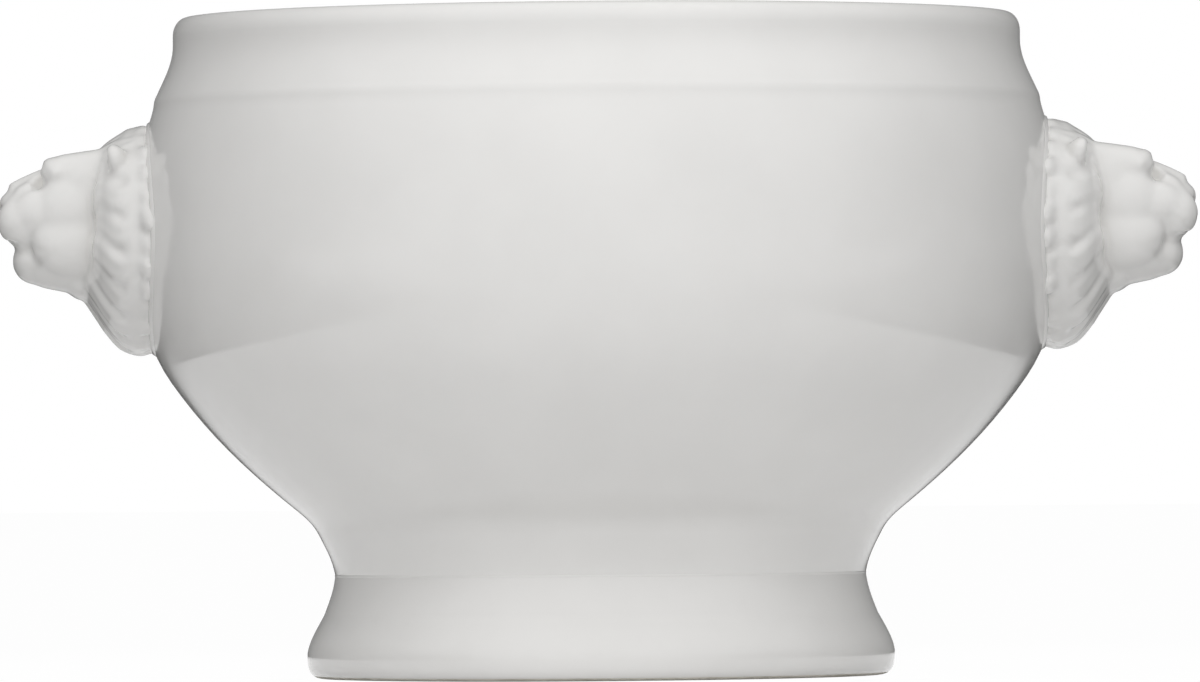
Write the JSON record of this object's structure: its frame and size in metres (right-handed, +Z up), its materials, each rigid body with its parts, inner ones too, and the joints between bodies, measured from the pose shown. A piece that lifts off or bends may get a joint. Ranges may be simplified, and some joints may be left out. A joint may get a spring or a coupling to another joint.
{
  "type": "french onion soup crock",
  "caption": "Footed round soup bowl with a rolled lip and a lion's head in relief on each side as lifting lugs, in white glazed porcelain.",
  "frame": {"origin": "centre of the foot's underside, on the table", "axes": "+Z up through the mouth, +X towards the right head's nose, the pictured side facing -Y"},
  "size_m": [0.17, 0.1302, 0.0936],
  "materials": {
    "glazed_porcelain": "clear gloss glaze",
    "fired_slip": "fired, under the glaze"
  },
  "bodies": {
    "root": {"bowl": "glazed_porcelain", "pedestal_foot": "glazed_porcelain", "foot_slip_joint": "fired_slip", "left_lion_head": "glazed_porcelain", "left_slip_joint": "fired_slip", "right_lion_head": "glazed_porcelain", "right_slip_joint": "fired_slip"}
  },
  "joints": []
}
